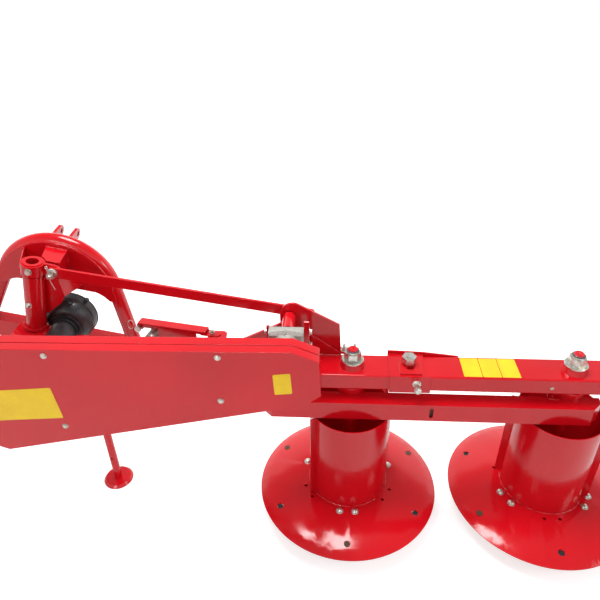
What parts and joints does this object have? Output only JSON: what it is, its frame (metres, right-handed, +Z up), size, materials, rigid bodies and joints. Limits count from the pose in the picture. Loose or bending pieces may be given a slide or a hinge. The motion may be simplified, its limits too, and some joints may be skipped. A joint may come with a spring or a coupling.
{
  "type": "twin-drum rotary mower",
  "caption": "Mounted drum mower: two dished discs under upright drums on a box beam, hinged to a boom with belt guard, swinging three-point hitch and parking leg.",
  "frame": {"origin": "on the floor under the inner drum's axle, in the middle of the inner skid bowl's flat", "axes": "+X to the right seen from behind, along the beam towards the outer drum; +Y forward, the direction of travel; +Z up"},
  "size_m": [2.8078, 0.737, 1.1334],
  "materials": {
    "red_paint": "gloss",
    "zinc_steel": "satin",
    "bare_steel": "satin",
    "cast_aluminium": "matte",
    "black_plastic": "matte"
  },
  "bodies": {
    "cutting_unit": {"upper_beam": "red_paint", "lower_beam": "red_paint", "bearing_housings": "red_paint", "axles": "zinc_steel", "axle_nuts": "zinc_steel", "cover_clamp": "red_paint", "hinge_plate": "red_paint", "gearbox_plates": "red_paint", "beam_gusset": "red_paint", "gearbox": "cast_aluminium", "hinge_pin": "zinc_steel", "clamp_nut": "zinc_steel"},
    "inner_drum": {"inner_drum": "red_paint", "inner_disc": "red_paint", "inner_drive_sleeve": "bare_steel", "inner_knife_holders": "bare_steel", "inner_knives": "bare_steel"},
    "outer_drum": {"outer_drum": "red_paint", "outer_disc": "red_paint", "outer_drive_sleeve": "bare_steel", "outer_knife_holders": "bare_steel", "outer_knives": "bare_steel"},
    "inner_skid": {"inner_skid": "red_paint"},
    "outer_skid": {"outer_skid": "red_paint"},
    "boom": {"boom_beam": "red_paint", "boom_fork": "red_paint", "kingpin": "red_paint", "kingpin_collar": "red_paint", "tension_bar": "red_paint", "tension_bar_bolt": "zinc_steel", "belt_guard_box": "red_paint", "belt_guard_lid": "red_paint", "input_housing": "red_paint", "shaft_cup": "black_plastic", "cup_bracket": "zinc_steel", "leg_socket": "red_paint", "latch_channel": "red_paint", "latch_rod": "red_paint", "latch_pin": "zinc_steel", "latch_bracket": "red_paint", "latch_spring": "zinc_steel"},
    "parking_leg": {"parking_leg": "red_paint", "parking_foot": "red_paint"},
    "input_shaft": {"input_shaft": "bare_steel"},
    "hitch": {"hitch_arch": "red_paint", "hitch_cross_bar": "red_paint", "lower_hitch_pins": "zinc_steel", "top_link_ears": "red_paint", "arch_webs": "red_paint", "hitch_bracket": "red_paint", "hitch_sleeve": "red_paint"}
  },
  "joints": [
    {"name": "boom_hinge", "type": "hinge", "parent": "cutting_unit", "child": "boom", "pos_m": [-0.233, 0, 0.897], "axis": [0, 1, 0], "range_deg": [-22, 12]},
    {"name": "hitch_swing", "type": "hinge", "parent": "boom", "child": "hitch", "pos_m": [-1.155, 0.09, 1.097], "axis": [0.2045, 0, 0.9789], "range_deg": [0, 90]},
    {"name": "parking_leg_slide", "type": "slide", "parent": "boom", "child": "parking_leg", "axis": [0, 0, 1], "range_m": [0, 0.3]},
    {"name": "inner_drum_spin", "type": "hinge", "parent": "cutting_unit", "child": "inner_drum", "pos_m": [0, 0, 0.3], "axis": [0, 0, 1], "continuous": true},
    {"name": "outer_drum_spin", "type": "hinge", "parent": "cutting_unit", "child": "outer_drum", "pos_m": [0.8, 0, 0.3], "axis": [0, 0, 1], "continuous": true},
    {"name": "input_shaft_spin", "type": "hinge", "parent": "boom", "child": "input_shaft", "pos_m": [-1.12, 0, 0.783], "axis": [0, 1, 0], "continuous": true},
    {"name": "inner_skid_spin", "type": "hinge", "parent": "cutting_unit", "child": "inner_skid", "pos_m": [0, 0, 0.05], "axis": [0, 0, 1], "continuous": true},
    {"name": "outer_skid_spin", "type": "hinge", "parent": "cutting_unit", "child": "outer_skid", "pos_m": [0.8, 0, 0.05], "axis": [0, 0, 1], "continuous": true}
  ],
  "couplings": [
    {"joint": "outer_drum_spin", "follows": "inner_drum_spin", "ratio": -1},
    {"joint": "input_shaft_spin", "follows": "inner_drum_spin", "ratio": -0.3175}
  ]
}
